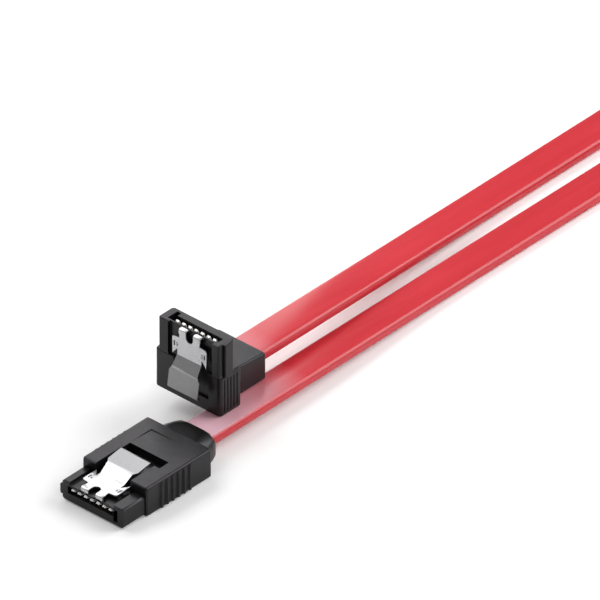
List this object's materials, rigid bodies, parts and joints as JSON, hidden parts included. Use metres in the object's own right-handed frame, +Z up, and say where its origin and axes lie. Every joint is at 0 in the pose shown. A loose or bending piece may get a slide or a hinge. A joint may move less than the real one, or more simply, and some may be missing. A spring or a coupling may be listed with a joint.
{
  "type": "sata data cable",
  "caption": "Flat red data cable with a straight latching plug on one end and a right-angle latching plug on the other, its spare length folded into a tied hank.",
  "frame": {"origin": "under the middle of the straight plug, on the plane that the part lies on", "axes": "+X along the straight plug's cable, away from its mating face; +Z up"},
  "size_m": [0.2363, 0.0387, 0.0166],
  "materials": {
    "overmould": "satin moulded black PVC",
    "housing": "satin moulded black nylon",
    "inner_mould": "dull moulded black plastic",
    "latch_steel": "bright rolled spring steel",
    "contact_plating": "bright pale plating on copper alloy",
    "wire_insulation": "natural white polyethylene",
    "ground_wire": "tinned copper",
    "jacket": "glossy soft red PVC",
    "tie": "plain black nylon band"
  },
  "bodies": {
    "root": {"straight_overmould": "overmould", "straight_housing": "housing", "straight_inner_mould": "inner_mould", "straight_contact_1": "contact_plating", "straight_contact_2": "contact_plating", "straight_contact_3": "contact_plating", "straight_contact_4": "contact_plating", "straight_contact_5": "contact_plating", "straight_contact_6": "contact_plating", "straight_contact_7": "contact_plating", "straight_signal_wire_1": "wire_insulation", "straight_signal_wire_2": "wire_insulation", "straight_signal_wire_3": "wire_insulation", "straight_signal_wire_4": "wire_insulation", "straight_ground_wire_1": "ground_wire", "straight_ground_wire_2": "ground_wire", "straight_ground_wire_3": "ground_wire", "angled_overmould": "overmould", "angled_housing": "housing", "angled_inner_mould": "inner_mould", "angled_contact_1": "contact_plating", "angled_contact_2": "contact_plating", "angled_contact_3": "contact_plating", "angled_contact_4": "contact_plating", "angled_contact_5": "contact_plating", "angled_contact_6": "contact_plating", "angled_contact_7": "contact_plating", "angled_signal_wire_1": "wire_insulation", "angled_signal_wire_2": "wire_insulation", "angled_signal_wire_3": "wire_insulation", "angled_signal_wire_4": "wire_insulation", "angled_ground_wire_1": "ground_wire", "angled_ground_wire_2": "ground_wire", "angled_ground_wire_3": "ground_wire", "cable_jacket": "jacket", "cable_tie": "tie"},
    "straight_spring": {"straight_latch": "latch_steel"},
    "angled_spring": {"angled_latch": "latch_steel"}
  },
  "joints": [
    {"name": "straight_latch_press", "type": "hinge", "parent": "root", "child": "straight_spring", "pos_m": [-0.0116, 0, 0.00382], "axis": [0, 1, 0], "range_deg": [0, 5], "stiffness_Nm_per_rad": 0.2},
    {"name": "angled_latch_press", "type": "hinge", "parent": "root", "child": "angled_spring", "pos_m": [0.01607, 0.00592, 0.0163], "axis": [0, -1, 0], "range_deg": [0, 5], "stiffness_Nm_per_rad": 0.2}
  ]
}
